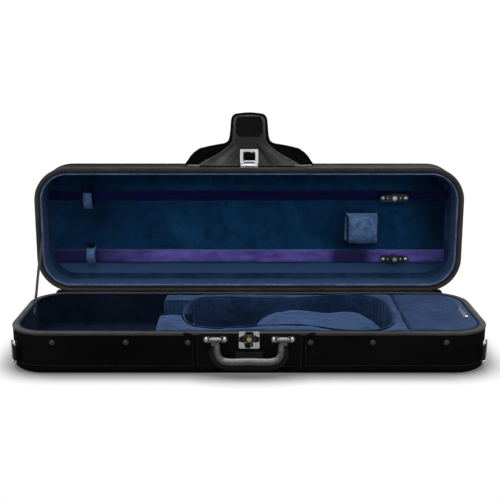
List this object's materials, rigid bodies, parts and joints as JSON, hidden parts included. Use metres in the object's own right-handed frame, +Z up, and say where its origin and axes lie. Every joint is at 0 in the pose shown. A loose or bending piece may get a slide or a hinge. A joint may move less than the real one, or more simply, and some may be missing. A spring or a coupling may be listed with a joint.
{
  "type": "violin case",
  "caption": "Oblong hard-shell violin case with hinged lid, padded velvet interior, carrying handle, lock and bow holders, shown open.",
  "frame": {"origin": "centre of the base's resting face", "axes": "+Z up, +X to the right as seen from the front, -Y towards the front with the lock and handle"},
  "size_m": [0.7932, 0.3388, 0.3991],
  "materials": {
    "canvas": "woven black canvas",
    "shell": "laminated, unseen",
    "rim": "matt grey strip",
    "piping": "rolled edge",
    "velvet": "blue velvet over padding",
    "satin": "violet satin",
    "black_leather": "soft grained",
    "loop_tape": "loop fastening tape",
    "hook_tape": "hook fastening tape",
    "chrome": "polished",
    "steel": "plated",
    "brass": "satin",
    "black_plastic": "moulded",
    "strap": "woven tape"
  },
  "bodies": {
    "base": {"accessory_box": "velvet", "base_cover": "canvas", "base_lining": "velvet", "base_piping": "piping", "base_rim": "rim", "base_shell": "shell", "body_cushion": "velvet", "bracket_screws": "chrome", "foam_surround": "velvet", "front_patch": "black_leather", "front_studs": "chrome", "handle_brackets": "chrome", "handle_pins": "steel", "hinge_base_leaves": "steel", "hinge_base_screws": "steel", "hinge_pins": "steel", "lid_stay": "strap", "lock_body": "chrome", "lock_screws": "chrome", "loop_patch": "loop_tape", "ring_keeper_left": "black_leather", "ring_keeper_right": "black_leather", "stay_rivet_base": "steel"},
    "lid": {"lid_cover": "canvas", "lid_shell": "shell", "lid_lining": "velvet", "lid_rim": "rim", "lid_piping": "piping", "ribbon_upper": "satin", "ribbon_lower": "satin", "bow_loops": "velvet", "accessory_loop": "velvet", "spinner_posts": "steel", "spinner_caps": "chrome", "hasp_mount": "chrome", "hasp_pin": "steel", "hasp_screws": "chrome", "hinge_lid_leaves": "steel", "hinge_lid_screws": "steel", "stay_rivet_lid": "steel"},
    "handle": {"handle_grip": "black_leather", "handle_eyes": "steel"},
    "hasp": {"hasp_leaf": "chrome"},
    "flap_body": {"flap": "black_leather", "flap_patch": "hook_tape"},
    "key_cylinder": {"lock_cylinder": "brass"},
    "bolt": {"lock_bolt": "steel"},
    "spinner_upper_body": {"spinner_upper": "black_plastic"},
    "spinner_lower_body": {"spinner_lower": "black_plastic"},
    "compartment": {"compartment_lid": "velvet", "pull_tab": "satin", "tab_snap": "chrome"},
    "ring_left_body": {"ring_left": "chrome"},
    "ring_right_body": {"ring_right": "chrome"}
  },
  "joints": [
    {"name": "lid_hinge", "type": "hinge", "parent": "base", "child": "lid", "pos_m": [0, 0.119, 0.067], "axis": [1, 0, 0], "range_deg": [0, 91.5], "deforming": ["lid_stay"]},
    {"name": "handle_swing", "type": "hinge", "parent": "base", "child": "handle", "pos_m": [0, -0.125, 0.062], "axis": [-1, 0, 0], "range_deg": [0, 100]},
    {"name": "hasp_fold", "type": "hinge", "parent": "lid", "child": "hasp", "pos_m": [0, 0.13625, 0.30563], "axis": [1, 0, 0], "range_deg": [0, 90]},
    {"name": "flap_fold", "type": "hinge", "parent": "lid", "child": "flap_body", "pos_m": [0, 0.16509, 0.31038], "axis": [1, 0, 0], "range_deg": [0, 90], "deforming": ["flap", "flap_patch"]},
    {"name": "key_turn", "type": "hinge", "parent": "base", "child": "key_cylinder", "pos_m": [0, -0.116, 0.062], "axis": [0, -1, 0], "range_deg": [0, 90]},
    {"name": "bolt_slide", "type": "slide", "parent": "base", "child": "bolt", "axis": [1, 0, 0], "range_m": [0, 0.004]},
    {"name": "spinner_upper_turn", "type": "hinge", "parent": "lid", "child": "spinner_upper_body", "pos_m": [0.274, 0.17521, 0.23859], "axis": [0, -0.9997, 0.0262], "continuous": true},
    {"name": "spinner_lower_turn", "type": "hinge", "parent": "lid", "child": "spinner_lower_body", "pos_m": [0.278, 0.17212, 0.12063], "axis": [0, -0.9997, 0.0262], "continuous": true},
    {"name": "compartment_hinge", "type": "hinge", "parent": "base", "child": "compartment", "pos_m": [0.266, 0, 0.068], "axis": [0, 1, 0], "range_deg": [-95, 0]},
    {"name": "ring_left_swing", "type": "hinge", "parent": "base", "child": "ring_left_body", "pos_m": [-0.38277, -0.09881, 0.031], "axis": [0, 0, 1], "range_deg": [0, 100]},
    {"name": "ring_right_swing", "type": "hinge", "parent": "base", "child": "ring_right_body", "pos_m": [0.38277, -0.09881, 0.031], "axis": [0, 0, -1], "range_deg": [0, 100]}
  ],
  "couplings": [
    {"joint": "key_turn", "follows": "bolt_slide", "rad_per_m": 392.6}
  ]
}
